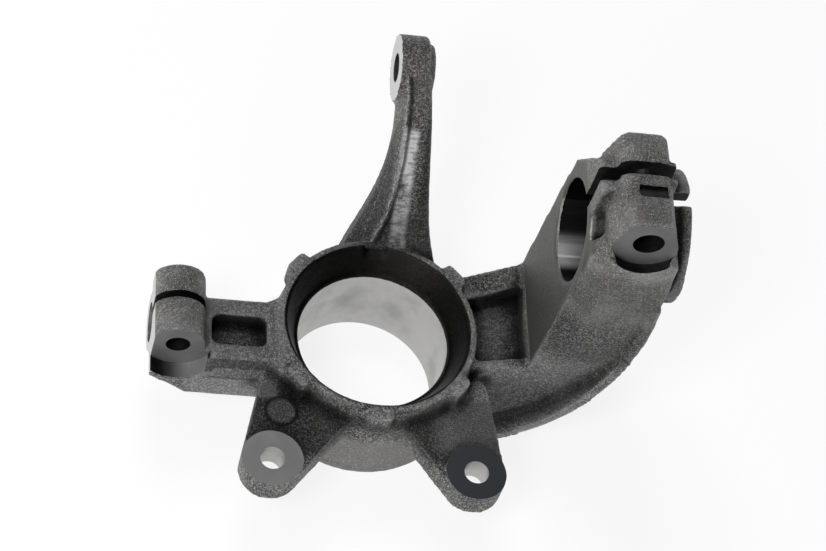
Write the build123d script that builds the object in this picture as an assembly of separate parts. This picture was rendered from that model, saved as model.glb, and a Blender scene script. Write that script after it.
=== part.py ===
from build123d import *
import math
import os

# Steering knuckle: one iron casting with machined bores and faces.
# Frame: origin on the bearing axis in the outboard face, +Z along the bearing axis towards
# the inboard side, +X towards the strut clamp, +Y towards the steering arm. Millimetres.

# ---- hub barrel
bearing_r = 39.0          # machined seat of the pressed-in wheel bearing
bearing_depth = 44.2      # length of that seat, from the outboard face
hub_height = 61.0         # outboard face to inboard rim
barrel_r = 53.0           # outer radius of the barrel at its outboard face
rim_r = 51.5              # outer radius at the inboard rim
mouth_r = 47.5            # cast mouth at the inboard rim
mouth_step = 1.4          # radial step between the seat and the cast mouth
rim_pad_r = 56.0          # reach of the pads round the rim
rim_pad_w = 14.0
date_pad_r = 7.3
date_pad_at = 49.0        # the round pad sits this far out along both axes

# ---- brake caliper ears
ear_spacing = 103.5       # centre distance of the two caliper holes
ear_shift = -1.85         # how far the pair sits off the bearing axis along X
ear_reach = 76.6          # distance of the hole line below the bearing axis
ear_face_r = 15.4         # machined face
ear_hole_r = 6.25
ear_thick = 15.0
ear_face_z = 51.2         # inboard machined faces
ear_root_r = 26.0         # rounding of an ear arm where it leaves the barrel

# ---- ball joint clamp and its arm
stud_r = 10.3             # bore for the ball joint stud, along X
stud_z = 45.9
ball_end_x = -115.0       # end face of the clamp
ball_bolt_x = -102.7      # pinch bolt, along Y
ball_bolt_z = 61.7
ball_bolt_r = 6.2
ball_boss_r = 13.8
ball_front_y = -21.6      # spot-faced bolt seat
ball_back_y = 18.0
ball_slot = 4.2
ball_seat_r = 17.5        # cutter of the bolt seat
ball_arm_front = -29.5    # at the parting plane, which runs through the stud axis
ball_arm_back = 14.5
ball_arm_low = 26.0
ball_arm_top = 58.0
ball_arm_draft = 4.5
ball_socket_r = 15.0
stud_depth = 26.0

# ---- strut clamp
strut_r = 26.0            # bore for the strut tube
strut_wall = 6.0
strut_y = 15.0
strut_z = 140.0
strut_mouth_x = 82.4      # lower end of the bore
strut_end_x = 133.5       # upper end of the clamp
strut_lean = 2.0          # the strut leans inboard by this angle
strut_bolt_x = 107.5      # pinch bolt, along Y
strut_bolt_z = 182.5
strut_bolt_r = 7.7
strut_slot = 7.6
strut_seat_r = 17.7       # cutter of the bolt seat
strut_front_y = -20.0     # spot-faced bolt seat
strut_back_y = 35.5
lobe_rise = 15.0          # lobes above the bolt axis
lobe_half = 16.0          # half width of the lobes along X
arm_half = 33.0           # half width of the strut arm along Y
spine_lip = 5.5           # thickness of the proud edge of the strut arm

# ---- steering arm
tie_y = 121.0
tie_z = 118.0
tie_face_x = 1.2          # machined seat of the tie rod end
tie_thick = 15.6
tie_r = 7.3               # taper, at the seat
tie_taper = 8.0           # 1 in 8 on diameter
tie_pad_r = 16.0
tie_tip_r = 17.5


def prism(points, plane, start, stop, radius=0.0):
    """Closed outline with rounded corners on a plane, extruded between two offsets."""
    if radius:
        wire = FilletPolyline(*points, radius=radius, close=True)
    else:
        wire = Polyline(*points, close=True)
    return extrude(plane.offset(start) * make_face(wire), amount=stop - start)


def along_x(radius, y, z, start, stop):
    """Cylinder parallel to X."""
    return Pos((start + stop) / 2, y, z) * Rot(0, 90, 0) * Cylinder(radius, stop - start)


def along_y(radius, x, z, start, stop):
    """Cylinder parallel to Y."""
    return Pos(x, (start + stop) / 2, z) * Rot(90, 0, 0) * Cylinder(radius, stop - start)


def along_z(radius, x, y, start, stop):
    """Cylinder parallel to Z."""
    return Pos(x, y, (start + stop) / 2) * Cylinder(radius, stop - start)


# looking along +Y: local x is X, local y is Z, and the normal is -Y
FRONT = Plane(origin=(0, 0, 0), x_dir=(1, 0, 0), z_dir=(0, -1, 0))
# looking along -X: local x is Y, local y is Z, and the normal is +X
SIDE = Plane(origin=(0, 0, 0), x_dir=(0, 1, 0), z_dir=(1, 0, 0))

ear_x = [ear_shift - ear_spacing / 2, ear_shift + ear_spacing / 2]
strut_outer = strut_r + strut_wall
strut_mid = (strut_mouth_x + strut_end_x) / 2
neck_top = hub_height - 4.0
neck_floor = neck_top - 10.0


def hub_barrel():
    """Drafted barrel of the hub, solid; its bore is machined last."""
    outline = Polyline((0, 0), (barrel_r, 0), (barrel_r + 1, 0.6 * hub_height), (rim_r, hub_height),
                       (0, hub_height), close=True)
    body = revolve(Plane.XZ * make_face(outline), Axis.Z)
    rims = body.edges().filter_by(GeomType.CIRCLE).sort_by(Axis.Z)
    body = fillet(rims[0], 2.5)
    return fillet(body.edges().filter_by(GeomType.CIRCLE).sort_by(Axis.Z)[-1], 1.5)


def rim_pads():
    """Six chucking pads round the inboard rim, mirrored about Y."""
    pads = []
    for angle in (90, 39, -39, -90, -141, 141):
        pad = Box(rim_pad_r - mouth_r + 3, rim_pad_w, 14, align=(Align.MAX, Align.CENTER, Align.MAX))
        pad = fillet(pad.edges().filter_by(Axis.Z).group_by(Axis.X)[-1], 3)
        pads.append(Rot(0, 0, angle) * Pos(rim_pad_r, 0, hub_height + 0.8) * pad)
    return pads


def caliper_ear(x):
    """One arm with its round pad, tapering from the barrel to the bolt hole."""
    low = ear_face_z - ear_thick
    outline = make_hull([
        *(Pos(x, -ear_reach) * Circle(ear_face_r)).edges(),
        *(Pos(math.copysign(ear_root_r + 7, x), -ear_root_r - 8) * Circle(ear_root_r)).edges(),
    ])
    arm = Pos(0, 0, low) * extrude(outline, amount=ear_thick - 1.6)
    return arm + along_z(ear_face_r, x, -ear_reach, low, ear_face_z)


def ball_arm():
    """Channel arm to the ball joint, drafted both ways from its parting plane."""
    low, top, end, front, back = ball_arm_low, ball_arm_top, ball_end_x, ball_arm_front, ball_arm_back
    boss_x = ball_bolt_x + ball_boss_r
    side = prism([(-20, low), (end + 20, low), (end, stud_z - 4), (end, top), (-20, top)],
                 FRONT, -back - 20, -front + 20)
    section = [(front + ball_arm_draft, top), (front, stud_z), (front + 2, low),
               (back - 2, low), (back, stud_z), (back - ball_arm_draft, top)]
    arm = side & prism(section, SIDE, end - 5, -20)
    # flare into the barrel
    arm += side & prism([(-30, front - 12), (-56, front + 3), (-56, back - 3), (-30, back + 12)],
                        Plane.XY, low, top - 1)
    socket = along_x(ball_socket_r, 0, stud_z, end, boss_x - 1)
    boss = along_y(ball_boss_r, ball_bolt_x, ball_bolt_z, ball_front_y, ball_back_y)
    seat = prism([(end - 5, stud_z), (boss_x, stud_z), (boss_x, ball_bolt_z), (end - 5, ball_bolt_z)],
                 FRONT, -back + 3, -ball_front_y)
    # round shoulder that the cutter of the bolt seat sinks into
    foot = along_y(ball_boss_r + 7, ball_bolt_x, ball_bolt_z, front - 1, 0)
    foot &= prism([(end - 5, low + 19), (end + 18, low + 4), (boss_x + 9, low + 4),
                   (boss_x + 9, stud_z + 7), (end - 5, stud_z + 7)], FRONT, -1, 40)
    past = Pos(end, 0, 0) * Box(60, 200, 300, align=(Align.MAX, Align.CENTER, Align.CENTER))
    x0, x1 = end + stud_depth + 4, -57
    channel = [(x0, front + 13), (x0, back - 13.5), (x1, back - 13.5), (x1, front + 13)]
    above = prism(channel, Plane.XY, top - 9, top + 5, 4)
    below = prism(channel, Plane.XY, low - 5, low + 14, 4)
    return arm + socket + boss + seat + foot - above - below - past


def wall_x(z):
    """Inboard wall of the strut arm, drafted like the casting."""
    return strut_mouth_x + 0.05 * (z - strut_z)


def spine_curve(inset):
    """Outboard edge of the strut arm seen from the front, moved inwards by the inset."""
    knots = [(70, 2), (104, 31), (122, 70), (128.5, 130)]
    return Spline(*[(x - inset, z + 0.5 * inset * (z < 130)) for x, z in knots])


def strut_arm():
    """Arm from the barrel up to the strut clamp: a channel open outboard, with lipped edges."""
    edge = spine_curve(0)
    inner = spine_curve(spine_lip)
    rest = Polyline(edge @ 1, (132.5, strut_z), (wall_x(strut_z), strut_z), (wall_x(neck_top), neck_top),
                    (40, neck_top), (40, 2), edge @ 0)
    front, back = strut_y - arm_half, strut_y + arm_half
    web = extrude(FRONT.offset(-back) * make_face([edge, *rest.edges()]), amount=back - front)
    plan = prism([(40, front - 22), (84, front), (135, front - 5), (135, back + 5), (79, back),
                  (40, back - 14)], Plane.XY, 0, strut_z)
    arm = web & plan
    # lip along the outboard edge
    lip_face = make_face([edge, Line(edge @ 1, inner @ 1), inner, Line(inner @ 0, edge @ 0)])
    lip = extrude(FRONT.offset(-back - 12) * lip_face, amount=back - front + 24)
    arm += lip & prism([(front - 11, 0), (front - 6, strut_z), (back + 6, strut_z), (back + 11, 0)],
                       SIDE, 50, 150)
    # outboard channel
    half = arm_half - 10
    arm -= prism([(66, -5), (78, 25), (93, 58), (101, strut_z - 42), (160, strut_z - 42), (160, -5)],
                 FRONT, -strut_y - half, -strut_y + half, 6)
    # channel between the two inboard ribs of the neck
    arm -= prism([(40, front + 2), (90, front + 10), (90, back - 10), (40, back - 28)],
                 Plane.XY, neck_floor, neck_top + 5) & prism(
        [(40, neck_floor), (wall_x(neck_floor), neck_floor), (wall_x(neck_top + 5), neck_top + 5),
         (40, neck_top + 5)], FRONT, -back, -front)
    # thicker front below the pinch bolt seat, running out towards the lip
    side = front + 10
    swell_top = strut_bolt_z - 11
    swell = prism([(front, 48), (front - 7, 98), (front - 7, swell_top), (side, swell_top), (side, 48)],
                  SIDE, 80, 130)
    swell &= prism([(84, front), (92, front - 7), (112, front - 7), (129, front - 4), (129, side),
                    (84, side)], Plane.XY, 40, swell_top)
    swell &= prism([(84, 40), (104, 40), (116, 66), (123, 100), (128, 130), (127, swell_top - 5),
                    (122, swell_top), (90, swell_top), (84, swell_top - 7)], FRONT, -side, 60)
    return arm + swell


def strut_clamp():
    """Split tube with two lobes for the pinch bolt and a collar at its upper end."""
    lean = Pos(strut_mid, strut_y, strut_z) * Rot(0, 90 - strut_lean, 0)
    length = strut_end_x - strut_mouth_x
    tube = lean * Cylinder(strut_outer, length + 16)
    collar = lean * Pos(0, 0, length / 2 - 0.5) * Cylinder(strut_outer + 1.5, 5)
    left, right, top = strut_bolt_x - lobe_half, strut_bolt_x + lobe_half, strut_bolt_z + lobe_rise
    lobes = prism([(left, strut_z + 10), (left - 2, strut_bolt_z - 4), (left + 4, top), (right - 7, top),
                   (right, strut_bolt_z - 4), (right, strut_z + 10)], FRONT, -strut_back_y, -strut_front_y, 7)
    step = prism([(strut_y - 13, strut_z), (strut_y - 10, top - 8), (strut_y + 8, top - 8),
                  (strut_y + 20, strut_z + 33), (strut_y + strut_outer - 1, strut_z + 16),
                  (strut_y + strut_outer - 1, strut_z)], SIDE, 70, left + 8, 4)
    recess = prism([(left + 9.5, top - 3), (left + 24, top - 3), (left + 24, top + 5), (left + 9.5, top + 5)],
                   FRONT, -strut_y + 10.2, -strut_y + 16.7)
    foot = prism([(60, strut_z - 80), (60, 220), (wall_x(220), 220), (wall_x(strut_z - 80), strut_z - 80)],
                 FRONT, -100, 100)
    end = lean * Pos(0, 0, length / 2 + 2) * Box(150, 150, 30, align=(Align.CENTER, Align.CENTER, Align.MIN))
    return tube + collar + lobes + step - recess - foot - end


def steering_arm():
    """Arm swept inboard to the tie rod end, lofted through sections across its path."""
    # along Y, along Z, left edge, right edge, flare of the flank, depth
    stations = [(40, 52, -10, 34, 8, 26), (60, 71, 1.5, 26.5, 7.5, 24), (80, 95, 5, 23, 2.6, 20),
                (100, 119, 4.5, 19.5, 2.2, 19), (110, 129, 3, 17.5, 1.2, 20)]
    sections = []
    for y, z, left, right, flare, depth in stations:
        plane = Plane(origin=(0, y, z), x_dir=(1, 0, 0), z_dir=(0, 0.66, 0.75))
        sections.append(plane * make_face(Polyline(
            (left, 0), (right, 0), (right + 1, depth / 2), (right, depth), (left - flare + 1, depth),
            (left - flare, depth / 2), close=True)))
    arm = loft(sections)
    tip = along_x(tie_tip_r, tie_y, tie_z, tie_face_x, tie_face_x + tie_thick)
    boss = along_x(tie_tip_r - 4, tie_y, tie_z, tie_face_x, tie_face_x + tie_thick + 3)
    return arm + tip + boss


def machining():
    """Everything a cutter takes out of the casting."""
    bottom = (Align.CENTER, Align.CENTER, Align.MIN)
    lean = Pos(strut_mid, strut_y, strut_z) * Rot(0, 90 - strut_lean, 0)
    cuts = [
        along_z(bearing_r, 0, 0, -1, bearing_depth),
        Pos(0, 0, bearing_depth) * Cone(bearing_r + mouth_step, mouth_r, hub_height - bearing_depth,
                                        align=bottom),
        along_z(mouth_r, 0, 0, hub_height, hub_height + 30),
        prism([(mouth_r - 8, hub_height + 9), (mouth_r + 3, hub_height + 9), (mouth_r + 3, hub_height),
               (mouth_r - 3, hub_height - 7.5), (mouth_r - 8, hub_height - 7.5)],
              SIDE, 1 - rim_pad_w / 2, rim_pad_w / 2 - 1),
        along_x(stud_r, 0, stud_z, ball_end_x - 1, ball_end_x + stud_depth),
        along_y(ball_bolt_r, ball_bolt_x, ball_bolt_z, -60, 60),
        Pos(ball_end_x - 1, 0, stud_z) * Box(stud_depth + 1, ball_slot, 60,
                                             align=(Align.MIN, Align.CENTER, Align.MIN)),
        along_y(ball_seat_r, ball_bolt_x, ball_bolt_z, -60, ball_front_y),
        lean * Cylinder(strut_r, 2 * (strut_end_x - strut_mouth_x)),
        Pos(60, strut_y, strut_z) * Box(100, strut_slot, 80, align=(Align.MIN, Align.CENTER, Align.MIN)),
        along_y(strut_bolt_r, strut_bolt_x, strut_bolt_z, -60, 90),
        along_y(strut_seat_r, strut_bolt_x, strut_bolt_z, -60, strut_front_y),
        along_x(tie_pad_r, tie_y, tie_z, -60, tie_face_x),
        Pos(tie_face_x - 1, tie_y, tie_z) * Rot(0, 90, 0)
        * Cone(tie_r + 0.5 / tie_taper, tie_r - 14.5 / tie_taper, 30, align=bottom),
    ]
    cuts += [along_z(ear_hole_r, x, -ear_reach, 0, 100) for x in ear_x]
    return cuts


def knuckle():
    """The whole casting, machined."""
    body = hub_barrel() + ball_arm() + strut_arm() + strut_clamp() + steering_arm()
    for piece in [caliper_ear(x) for x in ear_x] + rim_pads():
        body += piece
    # round pad beside the ear on the ball joint's side
    body += along_z(date_pad_r, -date_pad_at, -date_pad_at, ear_face_z - 6, ear_face_z + 0.6)
    for cut in machining():
        body -= cut
    return body


os.makedirs("parts", exist_ok=True)
part = knuckle()
part.label = "steering_knuckle"
export_step(part, "parts/steering_knuckle.step")
print("solids", len(part.solids()), "volume cm3", round(part.volume / 1000, 1))
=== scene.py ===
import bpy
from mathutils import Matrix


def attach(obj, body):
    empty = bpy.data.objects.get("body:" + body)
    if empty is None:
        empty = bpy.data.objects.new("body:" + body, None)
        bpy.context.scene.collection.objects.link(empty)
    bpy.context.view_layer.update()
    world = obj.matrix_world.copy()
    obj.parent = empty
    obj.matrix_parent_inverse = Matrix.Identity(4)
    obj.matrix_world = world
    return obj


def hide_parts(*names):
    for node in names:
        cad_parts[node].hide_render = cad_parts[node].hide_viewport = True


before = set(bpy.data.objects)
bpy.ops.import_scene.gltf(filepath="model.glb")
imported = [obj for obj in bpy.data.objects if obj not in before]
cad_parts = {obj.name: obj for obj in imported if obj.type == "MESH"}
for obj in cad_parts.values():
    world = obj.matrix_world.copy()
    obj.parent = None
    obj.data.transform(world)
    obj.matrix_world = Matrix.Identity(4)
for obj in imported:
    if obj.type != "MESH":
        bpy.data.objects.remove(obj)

"""Dressing of a cast iron steering knuckle: a sand-cast skin with machined bores and seats."""

import logging
import math
from dataclasses import dataclass
from enum import Enum
from typing import Sequence

import bmesh
import bpy
from mathutils import Matrix, Vector, noise
from mathutils.bvhtree import BVHTree
from mathutils.geometry import intersect_point_line

log = logging.getLogger("knuckle")
Pair = tuple[float, float]
Point = tuple[float, float, float]
MM = 0.001
ALONG_X: Point = (1.0, 0.0, 0.0)
ALONG_Y: Point = (0.0, 1.0, 0.0)
ALONG_Z: Point = (0.0, 0.0, 1.0)


class Surface(Enum):
    """The finishes that the casting carries, in the order of its material slots."""

    SKIN = 0
    MILLED = 1
    BORED = 2
    SAWN = 3


class Sock:
    """A shader socket that takes part in Python arithmetic."""

    def __init__(self, tree: "Shader", socket: bpy.types.NodeSocket) -> None:
        """Wraps a socket.

        Args:
            tree: The shader the socket belongs to.
            socket: The output socket.
        """
        self.tree = tree
        self.socket = socket

    def _math(self, operation: str, *values: "Sock | float", clamp: bool = False) -> "Sock":
        """Adds a Math node.

        Args:
            operation: The node's operation.
            values: Its inputs, in order.
            clamp: Whether the result is held between 0 and 1.

        Returns:
            The node's result.
        """
        return self.tree.node("ShaderNodeMath", {"operation": operation, "use_clamp": clamp},
                              dict(enumerate(values)))

    def __add__(self, other: "Sock | float") -> "Sock":
        """Sum."""
        return self._math("ADD", self, other)

    def __radd__(self, other: "Sock | float") -> "Sock":
        """Sum."""
        return self._math("ADD", other, self)

    def __sub__(self, other: "Sock | float") -> "Sock":
        """Difference."""
        return self._math("SUBTRACT", self, other)

    def __rsub__(self, other: "Sock | float") -> "Sock":
        """Difference."""
        return self._math("SUBTRACT", other, self)

    def __mul__(self, other: "Sock | float") -> "Sock":
        """Product."""
        return self._math("MULTIPLY", self, other)

    def __rmul__(self, other: "Sock | float") -> "Sock":
        """Product."""
        return self._math("MULTIPLY", other, self)

    def __pow__(self, other: "Sock | float") -> "Sock":
        """Power."""
        return self._math("POWER", self, other)

    def abs(self) -> "Sock":
        """Absolute value."""
        return self._math("ABSOLUTE", self)

    def sin(self) -> "Sock":
        """Sine."""
        return self._math("SINE", self)

    def high(self, other: "Sock | float") -> "Sock":
        """The larger of two values."""
        return self._math("MAXIMUM", self, other)

    def held(self) -> "Sock":
        """The value held between 0 and 1."""
        return self._math("ADD", self, 0.0, clamp=True)

    def ramp(self, start: float, end: float) -> "Sock":
        """A smooth rise from 0 at one value to 1 at another.

        Args:
            start: Where the rise starts.
            end: Where it ends.

        Returns:
            The value between 0 and 1.
        """
        return self.tree.node("ShaderNodeMapRange", {"interpolation_type": "SMOOTHSTEP"},
                              {"Value": self, "From Min": start, "From Max": end})

    def fall(self, start: float, end: float) -> "Sock":
        """A smooth fall from 1 at one value to 0 at another."""
        return 1.0 - self.ramp(start, end)

    def past(self, span: Pair) -> "Sock":
        """A smooth rise from 0 to 1 over a span in millimetres."""
        return self.ramp(span[0] * MM, span[1] * MM)

    def short_of(self, span: Pair) -> "Sock":
        """A smooth fall from 1 to 0 over a span in millimetres."""
        return 1.0 - self.past(span)


class Shader:
    """A material under construction."""

    def __init__(self, name: str) -> None:
        """Starts a material with one Principled surface.

        Args:
            name: The material's name.
        """
        self.material = bpy.data.materials.new(name)
        self.material.use_nodes = True
        self.nodes = self.material.node_tree.nodes
        self.links = self.material.node_tree.links
        self.surface = self.nodes["Principled BSDF"]
        self.place = self.node("ShaderNodeTexCoord", {}, {}, "Object")
        parts = self.nodes.new("ShaderNodeSeparateXYZ")
        self.links.new(self.place.socket, parts.inputs[0])
        self.x, self.y, self.z = (Sock(self, out) for out in parts.outputs)

    def _feed(self, target: bpy.types.NodeSocket, value: object) -> None:
        """Links a socket to an input, or sets the input's own value.

        Args:
            target: The input.
            value: A socket or a value.
        """
        if isinstance(value, Sock):
            self.links.new(value.socket, target)
        else:
            target.default_value = value

    def node(self, kind: str, settings: dict[str, object], inputs: dict[int | str, object],
             output: int | str = 0) -> Sock:
        """Adds any node.

        Args:
            kind: The node's type.
            settings: Its own settings.
            inputs: Values or sockets by input name or index.
            output: The output wanted.

        Returns:
            That output.
        """
        item = self.nodes.new(kind)
        for key, value in settings.items():
            setattr(item, key, value)
        for key, value in inputs.items():
            self._feed(item.inputs[key], value)
        return Sock(self, item.outputs[output])

    def stored(self, name: str) -> Sock:
        """A value that the mesh stores for each of its points."""
        return self.node("ShaderNodeAttribute", {"attribute_name": name}, {}, "Fac")

    def grain(self, scale: float, detail: float = 2.0, roughness: float = 0.5) -> Sock:
        """Cloudy noise over the piece.

        Args:
            scale: Cycles per metre.
            detail: Octaves.
            roughness: Strength of the finer octaves.

        Returns:
            Noise about 0.5.
        """
        return self.node("ShaderNodeTexNoise", {}, {"Vector": self.place, "Scale": scale,
                                                    "Detail": detail, "Roughness": roughness})

    def cells(self, scale: float) -> Sock:
        """Distance to scattered points, for pits and grains.

        Args:
            scale: Cells per metre.

        Returns:
            The distance.
        """
        return self.node("ShaderNodeTexVoronoi", {}, {"Vector": self.place, "Scale": scale})

    def blend(self, factor: Sock | float, first: object, second: object) -> Sock:
        """Mixes two colours.

        Args:
            factor: Share of the second.
            first: First colour.
            second: Second colour.

        Returns:
            The mixed colour.
        """
        return self.node("ShaderNodeMix", {"data_type": "RGBA"},
                         {0: factor, 6: first, 7: second}, 2)

    def bump(self, height: Sock, distance: float, strength: float) -> Sock:
        """Turns a height into a normal.

        Args:
            height: The height, about 0 to 1.
            distance: Its depth in metres.
            strength: Strength of the effect.

        Returns:
            The normal.
        """
        return self.node("ShaderNodeBump", {},
                         {"Height": height, "Distance": distance, "Strength": strength})

    def finish(self, **sockets: object) -> bpy.types.Material:
        """Sets the surface's sockets.

        Args:
            sockets: Values or sockets by name, with underscores for spaces.

        Returns:
            The material.
        """
        for key, value in sockets.items():
            self._feed(self.surface.inputs[key.replace("_", " ")], value)
        return self.material

    def inside(self, *patches: "Patch") -> Sock:
        """Masks one or more soft-edged boxes.

        Args:
            patches: The boxes, in the piece's own coordinates.

        Returns:
            1 inside any of them, 0 outside.
        """
        found: Sock | None = None
        for patch in patches:
            mask: Sock | None = None
            for axis, low, high in zip((self.x, self.y, self.z), patch.low, patch.high):
                band = axis.past((low - patch.soft, low))
                band = band * axis.short_of((high, high + patch.soft))
                mask = band if mask is None else mask * band
            found = mask if found is None else found.high(mask)
        return found

    def around(self, first: Sock, second: Sock, centre: Pair) -> Sock:
        """Distance from an axis that runs along one of the main directions.

        Args:
            first: First coordinate across the axis.
            second: Second coordinate across the axis.
            centre: Where the axis stands, in millimetres.

        Returns:
            The distance in metres.
        """
        return ((first - centre[0] * MM) ** 2.0 + (second - centre[1] * MM) ** 2.0) ** 0.5


@dataclass(frozen=True)
class Patch:
    """A soft-edged box of the casting, in millimetres."""

    low: Point
    high: Point
    soft: float


def grey(value: float, warmth: float = 0.0) -> tuple[float, float, float, float]:
    """A grey colour.

    Args:
        value: Linear brightness.
        warmth: Shift towards brown, or blue where negative.

    Returns:
        The colour.
    """
    return value * (1 + warmth), value, value * (1 - warmth), 1.0


@dataclass(frozen=True)
class Mouth:
    """The barrel's cast mouth, nearly black."""

    edge: Pair = (47.9, 48.5)
    level: Pair = (43.0, 45.0)
    tone: float = 0.01
    warmth: float = 0.06
    share: float = 0.97

    def mask(self, s: Shader) -> Sock:
        """Finds the mouth by its radius and its height."""
        return s.around(s.x, s.y, (0.0, 0.0)).short_of(self.edge) * s.z.past(self.level)


@dataclass(frozen=True)
class RimPads:
    """The pads on the barrel's rim, lighter on top: a painted highlight, where they are also
    rubbed.
    """

    angles: tuple[float, ...] = (39, -39, -90, -141, 141)
    radius: Pair = (48.5, 50.5)
    half_width: Pair = (4.0, 6.5)
    level: Pair = (58.0, 60.5)
    # colour of the painted highlight on the pads' tops
    tone: float = 0.45
    share: float = 0.12
    grain_share: float = 0.5
    grain: Pair = (0.45, 0.7)

    def mask(self, s: Shader, height: Sock) -> Sock:
        """Finds the tops of the pads for their painted highlight, strongest on the skin's high
        points.

        Args:
            s: The shader.
            height: The skin's relief.

        Returns:
            Their strength.
        """
        found: Sock | None = None
        for angle in map(math.radians, self.angles):
            out = s.x * math.cos(angle) + s.y * math.sin(angle)
            across = (s.y * math.cos(angle) - s.x * math.sin(angle)).abs()
            pad = out.past(self.radius) * across.short_of(self.half_width)
            found = pad if found is None else found + pad
        tops = found * s.z.past(self.level)
        return (tops * (height.ramp(*self.grain) * self.grain_share + self.share)).held()


@dataclass(frozen=True)
class DatePad:
    """The round date pad on an ear's arm, with a ring of painted shade round it, as a groove's
    shadow.
    """

    middle: Pair = (-49.0, -49.0)
    radius: float = 7.9
    top: Pair = (6.3, 7.1)
    ring: Pair = (0.2, 1.2)
    level: Pair = (46.0, 48.0)
    tone: float = 0.16
    share: float = 0.3
    ring_share: float = 0.85

    def disc(self, s: Shader) -> Sock:
        """Finds the pad's top."""
        disc = s.around(s.x, s.y, self.middle).short_of(self.top)
        return disc * s.z.past(self.level) * self.share

    def groove(self, s: Shader) -> Sock:
        """Finds the ring of painted shade round the pad."""
        away = (s.around(s.x, s.y, self.middle) - self.radius * MM).abs()
        return self.ring_share * away.short_of(self.ring) * s.z.past(self.level)


@dataclass(frozen=True)
class Rubbing:
    """The streaks rubbed along the top of the steering arm."""

    place: Patch = Patch((8.8, 50, 60), (13, 88, 112), 3.5)
    slope: Pair = (0.66, 0.75)
    depth: Pair = (2.0, 6.0)
    squeeze: float = 0.3
    streaks: float = 520.0
    streak_edge: Pair = (0.36, 0.6)
    streak_share: Pair = (0.9, 0.5)
    blots: float = 120.0
    blot_edge: Pair = (0.25, 0.5)
    fade_z: Pair = (62.0, 100.0)
    fade_share: Pair = (0.7, 0.3)
    tone: float = 0.8

    def mask(self, s: Shader) -> Sock:
        """Finds the streaks, fainter towards the arm's root.

        Args:
            s: The shader.

        Returns:
            Their strength.
        """
        back, up = self.slope
        deep = s.y * up - s.z * back
        along = s.node("ShaderNodeCombineXYZ", {},
                       {0: s.y * back + s.z * up, 1: s.x * self.squeeze})
        streaks = s.node("ShaderNodeTexNoise", {},
                         {"Vector": along, "Scale": self.streaks, "Detail": 3.0})
        patch = s.inside(self.place) * deep.short_of(self.depth)
        patch = patch * (s.z.past(self.fade_z) * self.fade_share[0] + self.fade_share[1])
        patch = patch * s.grain(self.blots, 3).ramp(*self.blot_edge)
        lines = streaks.ramp(*self.streak_edge) * self.streak_share[0] + self.streak_share[1]
        return (patch * lines).held()


@dataclass(frozen=True)
class Seam:
    """The flash of the parting line: a painted highlight on its crest and a painted shadow in the
    crease on its right.
    """

    crest_edge: Pair = (0.5, 1.7)
    crest_grain: Pair = (0.4, 0.62)
    crest_share: float = 0.7
    crease_start: Pair = (1.4, 2.0)
    crease_end: Pair = (2.6, 4.2)
    crease_shade_share: float = 0.75
    tone: float = 0.6

    def crest(self, aside: Sock, height: Sock) -> Sock:
        """Finds the crest's painted highlight, from the millimetres beside the flash and the skin's
        relief.
        """
        crest = aside.abs().fall(*self.crest_edge)
        return (crest * height.ramp(*self.crest_grain) * self.crest_share).held()

    def crease(self, aside: Sock) -> Sock:
        """Finds the painted shadow in the crease, from the millimetres beside the flash."""
        crease = aside.ramp(*self.crease_start) * aside.fall(*self.crease_end)
        return crease * self.crease_shade_share


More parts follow.
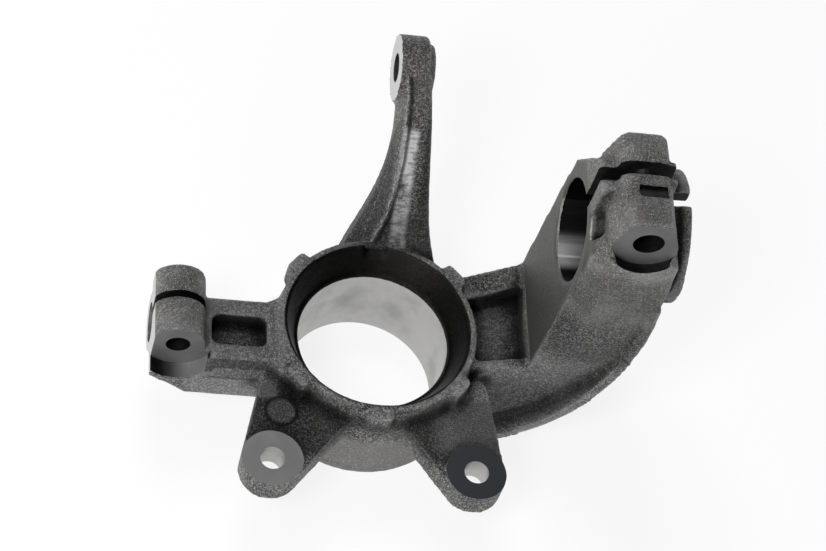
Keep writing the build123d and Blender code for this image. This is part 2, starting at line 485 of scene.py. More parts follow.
@dataclass(frozen=True)
class CastFinish:
    """Sand-cast skin, dark and grainy, smoother where the mould was faced, with shade and
    highlights painted into its colour.

    The pairs coarse, fine and pits hold a grain's scale against the main one and its share.
    """

    dark: float = 0.036
    light: float = 0.66
    smooth: float = 0.2
    # near black of the shade painted in hollows, sheltered places and the flash's crease
    painted_shade_black: float = 0.008
    grain: float = 1250.0
    coarse: Pair = (0.6, 0.5)
    fine: Pair = (1.6, 0.4)
    pits: Pair = (1.2, 0.22)
    speckle: Pair = (0.49, 0.8)
    clouds: float = 45.0
    cloud_share: float = 0.22
    relief: float = 0.0036
    roughness: float = 0.44
    metal: float = 0.85
    mouth: Mouth = Mouth()
    rim_pads: RimPads = RimPads()
    date_pad: DatePad = DatePad()
    rubbing: Rubbing = Rubbing()
    seam: Seam = Seam()
    wall: Patch = Patch((70, -14, 62), (84.5, 60, 168), 3)
    barrel: Patch = Patch((-44, -62, -5), (44, -20, 31), 5)
    barrel_share: float = 0.8
    tip: Patch = Patch((-6, 98, 96), (24, 150, 150), 12)
    tip_share: float = 0.3
    bare_share: float = 0.8
    clamps: tuple[Patch, ...] = (Patch((84, -26, 120), (140, 50, 210), 10),
                                 Patch((-118, -26, 48), (-86, 26, 80), 6))
    clamp_share: float = 0.36
    # the ears, flanks, spine and wall patches take painted shade
    ears: Patch = Patch((-66, -70, 47), (66, -36, 52), 5)
    flanks: tuple[Patch, ...] = (Patch((20.5, 44, 60), (40, 100, 130), 3),
                                 Patch((-60, 44, 40), (3, 92, 120), 4),
                                 Patch((-20, 44, 50), (40, 60, 72), 4))
    painted_shade_share: float = 0.62
    spine: Patch = Patch((84, -60, 84), (150, -12, 150), 14)
    spine_share: float = 0.34
    painted_shade_tone: float = 0.3
    # painted light on the ball arm's front and top, the neck and the lower spine
    painted_light_patches: tuple[Patch, ...] = (Patch((-92, -40, 22), (-52, -25, 51), 3),
                               Patch((-88, -30, 54), (-50, 16, 64), 4),
                               Patch((44, -34, 42), (66, 26, 58), 4),
                               Patch((36, -60, 0), (104, -22, 66), 12))
    painted_light_patch_share: float = 0.2
    painted_light_patch_tone: float = 0.45
    # painted highlight on the convex edges
    edge: Pair = (0.5, 1.5)
    edge_share: Pair = (0.15, 0.4)
    edge_highlight_tone: float = 0.42
    # painted shade where the casting hides much of a point's surroundings
    sheltered: Pair = (0.06, 0.42)
    shelter_shade_share: float = 0.9
    # painted shade in hollows, deepest where the skin is most concave
    hollow: Pair = (0.1, 1.3)
    hollow_shade_share: float = 0.85
    # painted shade under the ball arm's top rib and along its parting line
    crease_shade_bands: tuple[Patch, ...] = (Patch((-92, -34, 52.5), (-52, -24, 56.5), 1.5),
                                  Patch((-88, -32, 45), (-60, -28, 46.2), 0.6))
    crease_shade_share: float = 0.5

    def bare(self, s: Shader) -> Sock:
        """Finds where the mould was faced and the skin is smooth."""
        barrel = s.inside(self.barrel) * self.barrel_share
        return (s.inside(self.wall) + barrel + s.inside(self.tip) * self.tip_share).held()

    def painted_shade(self, s: Shader) -> Sock:
        """Finds where shade is painted on the skin: the ears' arms by the barrel, the steering
        arm's flanks and root, and the strut arm's spine and wall.
        """
        painted_shade = s.inside(*self.flanks) * self.painted_shade_share + s.inside(self.ears) * self.painted_shade_share
        return (painted_shade + s.inside(self.spine, self.wall) * self.spine_share).held()

    def skin(self, s: Shader, height: Sock, clouds: Sock, clamps: Sock) -> Sock:
        """Mixes grainy and calm skin.

        Args:
            s: The shader.
            height: The skin's relief.
            clouds: Wide noise.
            clamps: Where the clamps are, which are calmer.

        Returns:
            The colour.
        """
        rough = s.blend(height.ramp(*self.speckle), grey(self.dark, 0.03), grey(self.light, 0.01))
        calm = s.blend(clouds.ramp(0.35, 0.7), grey(self.light * 0.28, 0.02),
                       grey(self.light * 0.5, 0.01))
        calmness = clouds.ramp(0.4, 0.7) * self.cloud_share + clamps * self.clamp_share
        return s.blend(calmness.held(), rough, calm)

    def material(self) -> bpy.types.Material:
        """Builds the finish, its layers from the bottom up.

        Returns:
            The material.
        """
        s = Shader("cast_skin")
        clamps, bare, mouth = s.inside(*self.clamps), self.bare(s), self.mouth.mask(s)
        depth, shelter, aside = s.stored("hollow"), s.stored("shelter"), s.stored("seam")
        fine = s.grain(self.grain * self.fine[0], 2, 0.6)
        height = (s.grain(self.grain * self.coarse[0], 3, 0.65) * self.coarse[1]
                  + fine * self.fine[1]
                  + (1.0 - s.cells(self.grain * self.pits[0])) * self.pits[1])
        clouds = s.grain(self.clouds, 3, 0.55)
        facing = s.blend(fine.ramp(0.3, 0.7), grey(self.smooth * 0.7, 0.03),
                         grey(self.smooth, 0.02))
        # painted highlight on convex edges, stronger on the skin's high points
        edges = (depth * -1.0).ramp(*self.edge) * (self.edge_share[0] + height * self.edge_share[1])
        # painted shade in the ring round the date pad and in the bands under the ball arm's rib
        groove_shade = self.date_pad.groove(s) + s.inside(*self.crease_shade_bands) * self.crease_shade_share
        # painted shade in hollows, with the ring and band shade added
        hollow_shade = (depth.ramp(*self.hollow) * self.hollow_shade_share + groove_shade).held()
        tone = self.skin(s, height, clouds, clamps)
        for share, colour in (
                (bare * self.bare_share, facing),
                # painted shade on the ears' arms, the steering arm's flanks and the strut arm's
                # spine
                (self.painted_shade(s), grey(self.dark * self.painted_shade_tone)),
                # painted light on the ball arm, the neck and the lower spine
                (s.inside(*self.painted_light_patches) * self.painted_light_patch_share, grey(self.painted_light_patch_tone)),
                # painted highlight on the edges
                (edges, grey(self.edge_highlight_tone)),
                # painted highlight on the rim pads' tops, which are also rubbed
                (self.rim_pads.mask(s, height), grey(self.rim_pads.tone)),
                (self.date_pad.disc(s), grey(self.date_pad.tone)),
                # painted shade in sheltered places
                (shelter.ramp(*self.sheltered) * self.shelter_shade_share, grey(self.painted_shade_black)),
                # painted shade in hollows, round the date pad and under the ball arm's rib
                (hollow_shade, grey(self.painted_shade_black)),
                (mouth * self.mouth.share, grey(self.mouth.tone, self.mouth.warmth)),
                (self.rubbing.mask(s), grey(self.rubbing.tone)),
                # painted shadow in the crease beside the flash
                (self.seam.crease(aside), grey(self.painted_shade_black)),
                # painted highlight on the flash's crest
                (self.seam.crest(aside, height), grey(self.seam.tone))):
            tone = s.blend(share, tone, colour)
        quiet = 1.0 - (bare * 0.78 + mouth * 0.85 + clamps * 0.25).held()
        return s.finish(Base_Color=tone, Roughness=self.roughness - mouth * 0.05 + clouds * 0.12,
                        Metallic=(self.metal + mouth * (1.0 - self.metal)).held(),
                        Normal=s.bump(height * quiet, self.relief, 1.0))


@dataclass(frozen=True)
class SawnFinish:
    """Dark sawn walls of the slots and the bolt holes."""

    tone: float = 0.014
    contrast: float = 1.8
    lines: float = 5200.0
    waver: float = 5.0
    # painted light on the lit side of the crescent wall under the ball clamp's bolt seat
    crescent: Patch = Patch((-118, -34, 40), (-80, -22, 54), 1)
    crescent_fade: Pair = (-112.0, -90.0)
    crescent_share: float = 0.9
    painted_light: float = 0.4

    def material(self) -> bpy.types.Material:
        """Builds the finish.

        Returns:
            The material.
        """
        s = Shader("sawn_slot")
        lines = (s.z * self.lines + s.grain(60, 2) * self.waver).sin()
        tone = s.blend(s.grain(150, 3).ramp(0.3, 0.7), grey(self.tone),
                       grey(self.tone * self.contrast))
        # painted light on the crescent wall, stronger towards the clamp's root
        crescent = s.inside(self.crescent) * s.x.past(self.crescent_fade) * self.crescent_share
        tone = s.blend(crescent, tone, grey(self.painted_light))
        return s.finish(Base_Color=tone, Roughness=0.5 + s.grain(300, 2) * 0.1, Metallic=0.9,
                        Normal=s.bump(lines, 0.1 * MM, 0.4))


@dataclass(frozen=True)
class MilledFinish:
    """Milled seats and ends, with painted light on the tie rod's seat and the ball clamp's end, and
    the strut bore in painted shade with a painted highlight band.
    """

    tone: float = 0.125
    # painted light on the tie rod's seat and the ball clamp's end face
    painted_light: float = 0.62
    bright_share: float = 0.9
    tie_seat: Patch = Patch((-8, 96, 96), (2, 150, 150), 0.1)
    tie_axis: Pair = (121.0, 118.0)
    tie_hole: Pair = (7.5, 7.8)
    ball_end: Patch = Patch((-118, -36, 20), (-114.9, 36, 80), 0.1)
    # painted dark reflection on the right ear's milled face
    dark_reflection_ear: Patch = Patch((30, -100, 40), (70, -50, 60), 2)
    dark_reflection_share: float = 0.94
    painted_dark_reflection: tuple[float, float, float, float] = (0.013, 0.015, 0.02, 1.0)
    # the strut bore: painted shade, with a painted highlight band
    strut_bore: Patch = Patch((60, -16, 108), (140, 46, 176), 2)
    strut_glint: Patch = Patch((60, 14, 90), (140, 22, 113), 8)
    strut_shade: float = 0.004
    strut_highlight: float = 0.16
    metal: float = 0.7

    def material(self) -> bpy.types.Material:
        """Builds the finish.

        Returns:
            The material.
        """
        s = Shader("milled_face")
        stir = s.grain(70, 3)
        strut = s.inside(self.strut_bore)
        outside = s.around(s.y, s.z, self.tie_axis).past(self.tie_hole)
        # the tie rod's seat round its hole and the ball clamp's end take painted light
        painted_light = s.inside(self.tie_seat) * outside + s.inside(self.ball_end)
        # painted shade inside the strut bore, with a painted highlight band
        inner = s.blend(s.inside(self.strut_glint), grey(self.strut_shade), grey(self.strut_highlight))
        tone = s.blend(stir.ramp(0.3, 0.7), grey(self.tone * 0.75), grey(self.tone))
        # painted dark reflection on the right ear's face
        tone = s.blend(s.inside(self.dark_reflection_ear) * self.dark_reflection_share, tone, self.painted_dark_reflection)
        tone = s.blend((painted_light * self.bright_share).held(), tone, grey(self.painted_light))
        tone = s.blend(strut, tone, inner)
        return s.finish(Base_Color=tone, Roughness=0.46 + stir * 0.12,
                        Metallic=(self.metal + strut * 0.3).held(),
                        Normal=s.bump(s.grain(5200, 1), 0.1 * MM, 0.25))


@dataclass(frozen=True)
class BoredFinish:
    """Bright bore with fine turning marks round its axis."""

    tone: float = 0.45
    stained: float = 0.72
    turns: float = 9000.0
    waver: float = 3.0

    def material(self) -> bpy.types.Material:
        """Builds the finish.

        Returns:
            The material.
        """
        s = Shader("bright_bore")
        turning = (s.z * self.turns + s.grain(12, 1) * self.waver).sin()
        stain = s.grain(45, 3, 0.6)
        tone = s.blend(stain.ramp(0.42, 0.75), grey(self.tone, 0.01),
                       grey(self.tone * self.stained, 0.01))
        return s.finish(Base_Color=tone, Roughness=0.28 + stain * 0.14, Metallic=0.85,
                        Normal=s.bump(turning, 0.04 * MM, 0.2))


@dataclass
class Cutter:
    """A round tool: a cylinder or cone from one point along a direction."""

    start: Point
    along: Point
    length: float
    radius: float
    end_radius: float | None = None
    surface: Surface = Surface.MILLED
    wall: Surface | None = None
    trims: tuple[tuple[Point, Point], ...] = ()
    sides: int = 96

    def mesh(self) -> bpy.types.Mesh:
        """Builds the tool's body in metres.

        Returns:
            The mesh, with its round wall marked where that has a finish of its own.
        """
        bm = bmesh.new()
        turn = Vector(ALONG_Z).rotation_difference(Vector(self.along)).to_matrix().to_4x4()
        middle = Vector(self.start) + Vector(self.along).normalized() * self.length / 2
        last = self.radius if self.end_radius is None else self.end_radius
        bmesh.ops.create_cone(bm, cap_ends=True, segments=self.sides, radius1=self.radius,
                              radius2=last, depth=self.length,
                              matrix=Matrix.Translation(middle) @ turn)
        for place, outward in self.trims:
            bmesh.ops.bisect_plane(bm, geom=[*bm.verts, *bm.edges, *bm.faces], plane_co=place,
                                   plane_no=outward, clear_outer=True)
            bmesh.ops.holes_fill(bm, edges=[edge for edge in bm.edges if edge.is_boundary])
        bmesh.ops.scale(bm, vec=(MM, MM, MM), verts=bm.verts)
        bmesh.ops.recalc_face_normals(bm, faces=bm.faces)
        side = (self.wall or self.surface).value
        for face in bm.faces:
            face.material_index = side if len(face.verts) == 4 else self.surface.value
        mesh = bpy.data.meshes.new("tool")
        bm.to_mesh(mesh)
        bm.free()
        return mesh


@dataclass
class Slab:
    """A straight-sided tool between two corners, in millimetres."""

    low: Point
    high: Point
    surface: Surface = Surface.MILLED

    def mesh(self) -> bpy.types.Mesh:
        """Builds the tool's body in metres.

        Returns:
            The mesh.
        """
        bm = bmesh.new()
        low, high = Vector(self.low), Vector(self.high)
        stretch = Matrix.Diagonal((*(high - low), 1))
        bmesh.ops.create_cube(bm, size=1.0,
                              matrix=Matrix.Translation((low + high) / 2) @ stretch)
        bmesh.ops.scale(bm, vec=(MM, MM, MM), verts=bm.verts)
        for face in bm.faces:
            face.material_index = self.surface.value
        mesh = bpy.data.meshes.new("tool")
        bm.to_mesh(mesh)
        bm.free()
        return mesh


@dataclass(frozen=True)
class Hub:
    """The bearing hub: its bright bore and its flat outboard face."""

    bore_r: float = 39.0
    bore_top: float = 44.4
    bore_entry: float = 6.0
    bore_run: float = 55.0
    bore_sides: int = 160
    barrel_r: float = 50.4
    face_half: Pair = (70.0, 62.0)
    face_depth: float = 8.0
    overlap: float = 0.6
    stock: float = 2.0

    def plugs(self) -> list["Tool"]:
        """Closes the bore and leaves stock on the outboard face."""
        start = (0.0, 0.0, -self.stock)
        return [Cutter(start, ALONG_Z, self.bore_top + self.stock, self.bore_r + self.overlap),
                Cutter(start, ALONG_Z, self.stock * 2, self.barrel_r)]

    def tools(self) -> list["Tool"]:
        """Bores the hub and faces it."""
        wide, deep = self.face_half
        return [Cutter((0, 0, -self.bore_entry), ALONG_Z, self.bore_run, self.bore_r,
                       surface=Surface.BORED, sides=self.bore_sides),
                Slab((-wide, -deep, -self.face_depth), (wide, deep, 0))]


@dataclass(frozen=True)
class CaliperEars:
    """The two ears that carry the brake caliper."""

    hole_x: Pair = (-53.6, 49.9)
    hole_y: float = -76.6
    hole_r: float = 6.25
    hole_fill: float = 13.6
    hole_entry: float = 17.0
    hole_run: float = 50.0
    face_z: float = 51.2
    face_r: float = 15.3
    face_depth: float = 8.0
    raw_z: float = 46.0
    back_z: float = 37.0
    clearance: float = 1.1
    overlap: float = 0.95
    stock: float = 2.3

    def plugs(self) -> list["Tool"]:
        """Closes the holes and leaves stock on the faces."""
        fills: list[Tool] = []
        for x in self.hole_x:
            fills.append(Cutter((x, self.hole_y, self.back_z), ALONG_Z, self.hole_fill,
                                self.hole_r + self.overlap))
            fills.append(Cutter((x, self.hole_y, self.raw_z), ALONG_Z,
                                self.face_z - self.raw_z + self.stock, self.face_r))
        return fills

    def tools(self) -> list["Tool"]:
        """Drills the holes and mills the faces."""
        cuts: list[Tool] = []
        for x in self.hole_x:
            cuts.append(Cutter((x, self.hole_y, self.back_z - self.hole_entry), ALONG_Z,
                               self.hole_run, self.hole_r, surface=Surface.BORED))
            cuts.append(Cutter((x, self.hole_y, self.face_z), ALONG_Z, self.face_depth,
                               self.face_r + self.clearance))
        return cuts


@dataclass(frozen=True)
class BallClamp:
    """The split clamp of the ball joint's stud, with its pinch bolt."""

    end_x: float = -115.0
    end_stock: float = 2.0
    end_top_y: float = 11.0
    end_inset: float = 0.2
    root_x: float = -89.0
    stud_z: float = 45.9
    stud_r: float = 10.3
    stud_depth: float = 26.0
    stud_entry: float = 4.0
    socket_r: float = 14.6
    socket_depth: float = 6.0
    overlap: float = 0.5
    slot: float = 4.2
    slot_top: float = 61.0
    slot_floor: float = 50.0
    slot_reach: float = 90.0
    slot_entry: float = 5.0
    slot_inset: float = 0.4
    slot_overlap: float = 1.3
    bolt: Pair = (-102.7, 61.7)
    bolt_r: float = 6.2
    drill_y: float = -40.0
    drill_run: float = 70.0
    boss_r: float = 13.5
    boss_run: float = 41.4
    front_y: float = -21.6
    seat_r: float = 17.5
    mill_y: float = -44.0
    foot_top: float = 52.6
    foot_out: float = 6.2
    foot_run: float = 9.0
    foot_spread: float = 2.8
    face_half: float = 36.0
    face_z: Pair = (20.0, 72.0)
    face_depth: float = 10.0
    stock: float = 2.4

    def plugs(self) -> list["Tool"]:
        """Closes the bores and the slot and fills the foot under the bolt's seat.

        Returns:
            The fills.
        """
        bolt_x, bolt_z = self.bolt
        near, half = self.front_y - self.stock, self.slot / 2
        out_x = self.end_x - self.end_stock
        foot = (((0, 0, self.foot_top), ALONG_Z), ((out_x, 0, 0), (-1.0, 0.0, 0.0)))
        return [Slab((out_x, self.front_y + self.end_inset, self.stud_z),
                     (self.end_x + self.end_stock, self.end_top_y, bolt_z)),
                Cutter((self.end_x - self.overlap, 0, self.stud_z), ALONG_X,
                       self.stud_depth + self.overlap * 2, self.stud_r + self.overlap),
                Cutter((out_x, 0, self.stud_z), ALONG_X, self.socket_depth, self.socket_r),
                Cutter((bolt_x, near, bolt_z), ALONG_Y, self.boss_run, self.boss_r),
                Cutter((bolt_x, near - self.foot_out, bolt_z), ALONG_Y, self.foot_run,
                       self.seat_r + self.foot_spread, trims=foot),
                Slab((self.end_x + self.slot_inset, -half - self.slot_overlap, self.slot_floor),
                     (self.root_x - self.overlap, half + self.slot_overlap, self.slot_top))]

    def tools(self) -> list["Tool"]:
        """Faces the end, bores it, saws the slot and drills and spot-faces for the bolt.

        Returns:
            The cutters.
        """
        bolt_x, bolt_z = self.bolt
        half, (low, high) = self.slot / 2, self.face_z
        return [Slab((self.end_x - self.face_depth, -self.face_half, low),
                     (self.end_x, self.face_half, high)),
                Cutter((self.end_x - self.stud_entry, 0, self.stud_z), ALONG_X,
                       self.stud_depth + self.stud_entry, self.stud_r),
                Slab((self.end_x - self.slot_entry, -half, self.stud_z),
                     (self.root_x, half, self.slot_reach), Surface.SAWN),
                Cutter((bolt_x, self.drill_y, bolt_z), ALONG_Y, self.drill_run, self.bolt_r,
                       surface=Surface.SAWN),
                Cutter((bolt_x, self.mill_y, bolt_z), ALONG_Y, self.front_y - self.mill_y,
                       self.seat_r, wall=Surface.SAWN)]


@dataclass(frozen=True)
class StrutClamp:
    """The split clamp of the strut tube, with its pinch bolt."""

    middle: Point = (107.95, 15.0, 140.0)
    lean: float = math.radians(2.0)
    bore_r: float = 26.0
    bore_entry: float = 40.0
    bore_run: float = 90.0
    bore_sides: int = 128
    mouth_x: float = 84.5
    length: float = 47.6
    overlap: float = 0.4
    slot: float = 7.6
    slot_x: Pair = (60.0, 160.0)
    slot_reach: float = 220.0
    slot_fills: tuple[tuple[Point, Point], ...] = (((93.5, 8.5, 172.0), (121.5, 21.5, 194.5)),
                                                   ((84.0, 8.5, 163.0), (132.5, 21.5, 171.0)),
                                                   ((84.2, 8.5, 171.0), (98.0, 21.5, 187.5)))
    recess: tuple[Point, Point] = ((101.0, -1.7, 194.2), (115.5, 4.8, 204.0))
    bolt: Pair = (107.5, 182.5)
    bolt_r: float = 7.7
    bolt_fill: float = 54.3
    bolt_inset: float = 0.6
    bolt_overlap: float = 0.7
    drill_y: float = -40.0
    drill_run: float = 90.0
    front_y: float = -20.0
    seat_r: float = 17.7
    seat_cut: float = 0.4
    mill_y: float = -44.0
    foot_drop: float = 11.3
    foot_run: float = 6.0
    foot_spread: float = 0.3
    stock: float = 4.7

    @property
    def along(self) -> Point:
        """Direction of the strut's axis."""
        return math.cos(self.lean), 0.0, math.sin(self.lean)

    def plugs(self) -> list["Tool"]:
        """Closes the bore, the bolt's hole and the slot and fills the foot under the seat.

        Returns:
            The fills.
        """
        bolt_x, bolt_z = self.bolt
        foot = (((0, 0, bolt_z - self.foot_drop), ALONG_Z),)
        low = self.middle[2] - (self.middle[0] - self.mouth_x) * math.tan(self.lean)
        fills: list[Tool] = [
            Cutter((bolt_x, self.front_y - self.stock, bolt_z), ALONG_Y, self.foot_run,
                   self.seat_r + self.foot_spread, trims=foot),
            Cutter((self.mouth_x, self.middle[1], low), self.along, self.length,
                   self.bore_r + self.overlap),
            Cutter((bolt_x, self.front_y + self.bolt_inset, bolt_z), ALONG_Y, self.bolt_fill,
                   self.bolt_r + self.bolt_overlap)]
        return fills + [Slab(*corners) for corners in self.slot_fills]

    def tools(self) -> list["Tool"]:
        """Bores the clamp, saws its slot and drills and spot-faces for the bolt.

        Returns:
            The cutters.
        """
        bolt_x, bolt_z = self.bolt
        start = tuple(place - self.bore_entry * step
                      for place, step in zip(self.middle, self.along))
        side, half, (left, right) = self.middle[1], self.slot / 2, self.slot_x
        return [Slab(*self.recess, Surface.SAWN),
                Slab((left, side - half, self.middle[2]), (right, side + half, self.slot_reach),
                     Surface.SAWN),
                Cutter(start, self.along, self.bore_run, self.bore_r, sides=self.bore_sides),
                Cutter((bolt_x, self.drill_y, bolt_z), ALONG_Y, self.drill_run, self.bolt_r,
                       surface=Surface.SAWN),
                Cutter((bolt_x, self.mill_y, bolt_z), ALONG_Y,
                       self.front_y - self.mill_y + self.seat_cut, self.seat_r, wall=Surface.SAWN)]


@dataclass(frozen=True)
class SteeringArm:
    """The steering arm: the tie rod's seat and taper at its tip, and the flash along it."""

    axis: Pair = (121.0, 118.0)
    face_x: float = 1.2
    face_cut: float = 0.3
    face_r: float = 16.0
    mill_x: float = -24.0
    clearance: float = 1.2
    taper_r: float = 7.44
    taper_end_r: float = 5.56
    taper_fill: float = 17.4
    taper_inset: float = 0.6
    ream_x: float = -1.0
    ream_run: float = 30.0
    overlap: float = 0.46
    stock: float = 3.0
    flash_r: float = 1.5
    flash_overlap: float = 0.8
    flash_sides: int = 16
    flash: tuple[Point, ...] = ((-3.4, 49, 60.2), (3.0, 60, 71), (5.6, 70, 83), (6.8, 80, 95),
                                (7.0, 90, 107), (6.4, 100, 119), (5.4, 107, 126))

    def plugs(self) -> list["Tool"]:
        """Closes the taper, leaves stock on the seat and adds the parting line's flash.

        Returns:
            The fills.
        """
        y, z = self.axis
        fills: list[Tool] = [
            Cutter((self.face_x - self.stock, y, z), ALONG_X, self.stock * 2, self.face_r),
            Cutter((self.face_x + self.taper_inset, y, z), ALONG_X, self.taper_fill,
                   self.taper_r + self.overlap)]
        for start, end in zip(self.flash, self.flash[1:]):
            step = Vector(end) - Vector(start)
            fills.append(Cutter(start, tuple(step), step.length + self.flash_overlap, self.flash_r,
                                sides=self.flash_sides))
        return fills

    def tools(self) -> list["Tool"]:
        """Mills the seat and reams the taper."""
        y, z = self.axis
        return [Cutter((self.mill_x, y, z), ALONG_X, self.face_x - self.mill_x + self.face_cut,
                       self.face_r + self.clearance),
                Cutter((self.ream_x, y, z), ALONG_X, self.ream_run, self.taper_r, self.taper_end_r,
                       wall=Surface.SAWN)]


Tool = Cutter | Slab
Feature = Hub | CaliperEars | BallClamp | StrutClamp | SteeringArm


@dataclass
class Casting:
    """The knuckle's casting: its raw skin, then every machined bore and seat."""

    node: str = "steering_knuckle"
    voxel: float = 1.3
    merge: float = 1e-6
    melt_turns: int = 40
    rays: int = 36
    reach: float = 0.034
    lift: float = 0.0012
    grazing: float = 0.15
    seam_reach: float = 9.0
    sharp: float = 32.0
    waves: tuple[tuple[float, float], ...] = ((90.0, 0.12), (320.0, 0.08))
    features: tuple[Feature, ...] = (Hub(), CaliperEars(), BallClamp(), StrutClamp(), SteeringArm())
    finishes: tuple[CastFinish | MilledFinish | BoredFinish | SawnFinish, ...] = (
        CastFinish(), MilledFinish(), BoredFinish(), SawnFinish())

    def raw(self) -> bpy.types.Object:
        """Makes the raw casting: the solid with its bores filled, rounded and slightly uneven.

        Returns:
            The piece.
        """
        bm = bmesh.new()
        bm.from_mesh(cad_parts[self.node].data)
        bmesh.ops.remove_doubles(bm, verts=bm.verts, dist=self.merge)
        for fill in (plug for feature in self.features for plug in feature.plugs()):
            extra = fill.mesh()
            bm.from_mesh(extra)
            bpy.data.meshes.remove(extra)
        mesh = bpy.data.meshes.new("casting")
        bm.to_mesh(mesh)
        bm.free()
        piece = bpy.data.objects.new("casting", mesh)
        bpy.context.collection.objects.link(piece)
        remesh = piece.modifiers.new("remesh", "REMESH")
        remesh.mode, remesh.voxel_size = "VOXEL", self.voxel * MM
        remesh.use_smooth_shade = True
        smooth = piece.modifiers.new("smooth", "SMOOTH")
        smooth.factor, smooth.iterations = 0.5, 1
        apply_modifiers(piece)
        outward = [vertex.normal.copy() for vertex in piece.data.vertices]
        self.mark_hollows(piece, outward)
        self.mark_shelter(piece, outward)
        self.mark_seam(piece)
        for vertex, normal in zip(piece.data.vertices, outward):
            lift = sum(noise.noise(vertex.co * pitch) * height for pitch, height in self.waves)
            vertex.co += normal * lift * MM
        return piece

    @staticmethod
    def store(piece: bpy.types.Object, name: str, values: Sequence[float]) -> None:
        """Stores one value for each point of the piece.

        Args:
            piece: The piece.
            name: What the finishes call the value.
            values: The values, in the order of the points.
        """
        piece.data.attributes.new(name, "FLOAT", "POINT").data.foreach_set("value", values)
        log.info("%s from %.2f to %.2f", name, min(values), max(values))

    def mark_hollows(self, piece: bpy.types.Object, outward: Sequence[Vector]) -> None:
        """Stores the millimetres that each point lies in a hollow, below zero on an edge.

        Args:
            piece: The raw casting.
            outward: Its points' normals.
        """
        soft = bpy.data.objects.new("soft", piece.data.copy())
        bpy.context.collection.objects.link(soft)
        melt = soft.modifiers.new("melt", "SMOOTH")
        melt.factor, melt.iterations = 0.5, self.melt_turns
        apply_modifiers(soft)
        pairs = zip(soft.data.vertices, piece.data.vertices, outward)
        self.store(piece, "hollow",
                   [(loose.co - tight.co).dot(normal) / MM for loose, tight, normal in pairs])
        bpy.data.objects.remove(soft)

    def mark_shelter(self, piece: bpy.types.Object, outward: Sequence[Vector]) -> None:
        """Stores how much of each point's surroundings the casting hides, which the skin turns into
        painted shade.

        Args:
            piece: The raw casting.
            outward: Its points' normals.
        """
        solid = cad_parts[self.node].data
        walls = BVHTree.FromPolygons([vertex.co for vertex in solid.vertices],
                                     [face.vertices for face in solid.polygons])
        turn = math.pi * (3 - math.sqrt(5))
        heights = [1 - 2 * (index + 0.5) / self.rays for index in range(self.rays)]
        ways = [Vector((math.sqrt(1 - high * high) * math.cos(turn * index),
                        math.sqrt(1 - high * high) * math.sin(turn * index), high))
                for index, high in enumerate(heights)]
        shelter = []
        for vertex, normal in zip(piece.data.vertices, outward):
            start = vertex.co + normal * self.lift
            hidden = total = 0.0
            for way in ways:
                weight = way.dot(normal)
                if weight > self.grazing:
                    total += weight
                    distance = walls.ray_cast(start, way, self.reach)[3]
                    hidden += weight * (1 - distance / self.reach) if distance else 0.0
            shelter.append(hidden / total)
        self.store(piece, "shelter", shelter)

    def mark_seam(self, piece: bpy.types.Object) -> None:
        """Stores the millimetres from each point to the arm's flash, below zero on its left.

        Args:
            piece: The raw casting.
        """
        line = [Vector(point) * MM for feature in self.features
                if isinstance(feature, SteeringArm) for point in feature.flash]
        aside = []
        for vertex in piece.data.vertices:
            nearest = self.seam_reach
            if vertex.co.y > line[0].y and vertex.co.z > line[0].z:
                for start, end in zip(line, line[1:]):
                    share = intersect_point_line(vertex.co, start, end)[1]
                    foot = start.lerp(end, min(max(share, 0.0), 1.0))
                    gap = (vertex.co - foot).length / MM
                    if gap < abs(nearest):
                        nearest = math.copysign(gap, vertex.co.x - foot.x)
            aside.append(nearest)
        self.store(piece, "seam", aside)

    def machine(self, piece: bpy.types.Object) -> None:
        """Cuts the bores and seats and marks the faces that a tool left.

        Args:
            piece: The raw casting.
        """
        for finish in self.finishes:
            piece.data.materials.append(finish.material())
        for tool in (cut for feature in self.features for cut in feature.tools()):
            body = bpy.data.objects.new("tool", tool.mesh())
            for material in piece.data.materials:
                body.data.materials.append(material)
            bpy.context.collection.objects.link(body)
            cut = piece.modifiers.new("cut", "BOOLEAN")
            cut.operation, cut.solver, cut.object = "DIFFERENCE", "MANIFOLD", body
            apply_modifiers(piece)
            bpy.data.objects.remove(body)
        piece.data.set_sharp_from_angle(angle=math.radians(self.sharp))

    def build(self) -> bpy.types.Object:
        """Builds the finished casting.

        Returns:
            The piece.
        """
        piece = self.raw()
        log.info("raw casting: %d faces", len(piece.data.polygons))
        self.machine(piece)
        log.info("machined casting: %d faces", len(piece.data.polygons))
        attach(piece, "root")
        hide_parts(self.node)
        return piece


def apply_modifiers(piece: bpy.types.Object) -> None:
    """Turns a piece's modifiers into its mesh.

    Args:
        piece: The piece.
    """
    graph = bpy.context.evaluated_depsgraph_get()
    graph.update()
    made = bpy.data.meshes.new_from_object(piece.evaluated_get(graph), depsgraph=graph,
                                           preserve_all_data_layers=True)
    old = piece.data
    piece.modifiers.clear()
    piece.data = made
    bpy.data.meshes.remove(old)


@dataclass(frozen=True)
class Lamp:
    """A soft square lamp, its place and side in metres and its power in watts."""

    place: Point
    side: float
    power: float


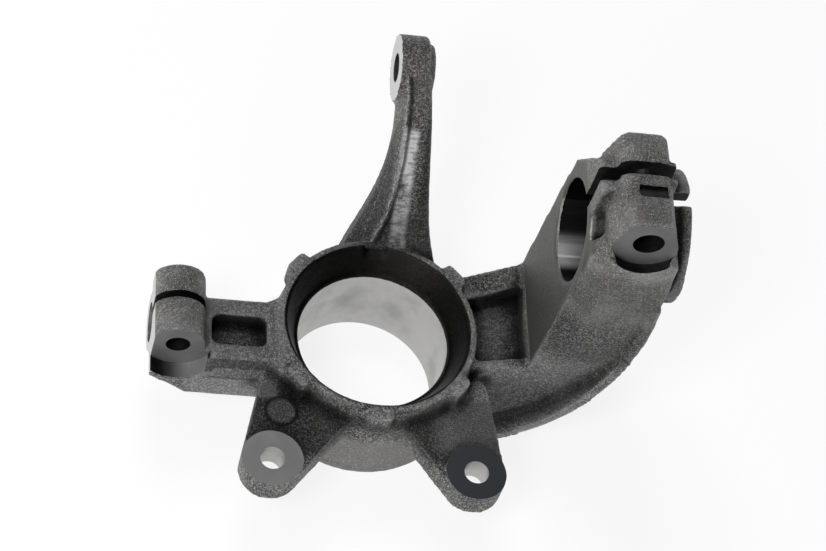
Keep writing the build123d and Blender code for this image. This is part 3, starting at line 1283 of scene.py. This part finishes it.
@dataclass
class Studio:
    """Pale floor, soft lamps and the camera."""

    lens: float = 130.75
    sensor: float = 36.0
    far: float = 20.0
    place: Point = (-0.2717, -0.8082, 1.3281)
    right: Point = (0.9788, -0.0337, 0.2022)
    up: Point = (-0.0822, 0.8393, 0.5374)
    back: Point = (-0.1878, -0.5426, 0.8187)
    lamps: tuple[Lamp, ...] = (Lamp((-0.25, 0.75, 1.35), 0.6, 14.0),
                               Lamp((-0.7, -0.8, 1.4), 0.4, 17.0),
                               Lamp((-0.6, -1.3, 0.3), 0.4, 15.0))
    aim: Point = (0.0, 0.0, 0.08)
    floor_half: float = 6.0
    floor_drop: float = 0.0002
    floor_tone: float = 0.8
    floor_glow: float = 0.85
    surround: tuple[tuple[str, float], ...] = (("From Min", -0.8), ("From Max", 0.6),
                                               ("To Min", 0.22), ("To Max", 0.06))

    def camera(self) -> None:
        """Sets the camera."""
        data = bpy.data.cameras.new("view")
        data.lens, data.sensor_width, data.clip_end = self.lens, self.sensor, self.far
        item = bpy.data.objects.new("view", data)
        rows = zip(self.right, self.up, self.back, self.place)
        item.matrix_world = Matrix((*rows, (0, 0, 0, 1)))
        bpy.context.collection.objects.link(item)
        bpy.context.scene.camera = item

    def light(self, lamp: Lamp) -> None:
        """Adds a soft lamp aimed at the part.

        Args:
            lamp: The lamp.
        """
        data = bpy.data.lights.new("softbox", "AREA")
        data.size, data.energy = lamp.side, lamp.power
        item = bpy.data.objects.new("softbox", data)
        item.location = lamp.place
        towards = Vector(self.aim) - Vector(lamp.place)
        item.rotation_euler = towards.to_track_quat("-Z", "Y").to_euler()
        bpy.context.collection.objects.link(item)

    def floor(self) -> None:
        """Adds a white floor, mostly glowing, that keeps a faint shadow of the part."""
        bm = bmesh.new()
        bmesh.ops.create_grid(bm, x_segments=1, y_segments=1, size=self.floor_half)
        mesh = bpy.data.meshes.new("floor")
        bm.to_mesh(mesh)
        bm.free()
        item = bpy.data.objects.new("floor", mesh)
        item.location.z = -self.floor_drop
        bpy.context.collection.objects.link(item)
        s = Shader("white_floor")
        s.finish(Base_Color=grey(self.floor_tone), Roughness=0.9)
        rays = s.nodes.new("ShaderNodeLightPath")
        seen = Sock(s, rays.outputs["Is Camera Ray"]).high(Sock(s, rays.outputs["Is Glossy Ray"]))
        seen = seen.high(Sock(s, rays.outputs["Is Transmission Ray"]))
        glow = s.node("ShaderNodeEmission", {}, {"Color": grey(1.0), "Strength": 1.0})
        plain = Sock(s, s.surface.outputs[0])
        out = s.node("ShaderNodeMixShader", {}, {0: seen * self.floor_glow, 1: plain, 2: glow})
        s.links.new(out.socket, s.nodes["Material Output"].inputs["Surface"])
        mesh.materials.append(s.material)

    def world(self) -> None:
        """Adds a pale surround, brighter on the left than on the right."""
        world = bpy.data.worlds.new("surround")
        world.use_nodes = True
        nodes, links = world.node_tree.nodes, world.node_tree.links
        split = nodes.new("ShaderNodeSeparateXYZ")
        links.new(nodes.new("ShaderNodeTexCoord").outputs["Generated"], split.inputs[0])
        fall = nodes.new("ShaderNodeMapRange")
        for name, value in self.surround:
            fall.inputs[name].default_value = value
        links.new(split.outputs[0], fall.inputs["Value"])
        links.new(fall.outputs[0], nodes["Background"].inputs["Strength"])
        nodes["Background"].inputs["Color"].default_value = grey(1.0)
        bpy.context.scene.world = world
        bpy.context.scene.view_settings.view_transform = "Standard"

    def build(self) -> None:
        """Builds the studio."""
        self.camera()
        self.world()
        self.floor()
        for lamp in self.lamps:
            self.light(lamp)


def main() -> None:
    """Builds the studio and the casting."""
    logging.basicConfig(level=logging.INFO)
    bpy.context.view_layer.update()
    Studio().build()
    Casting().build()


if __name__ == "__main__":
    main()
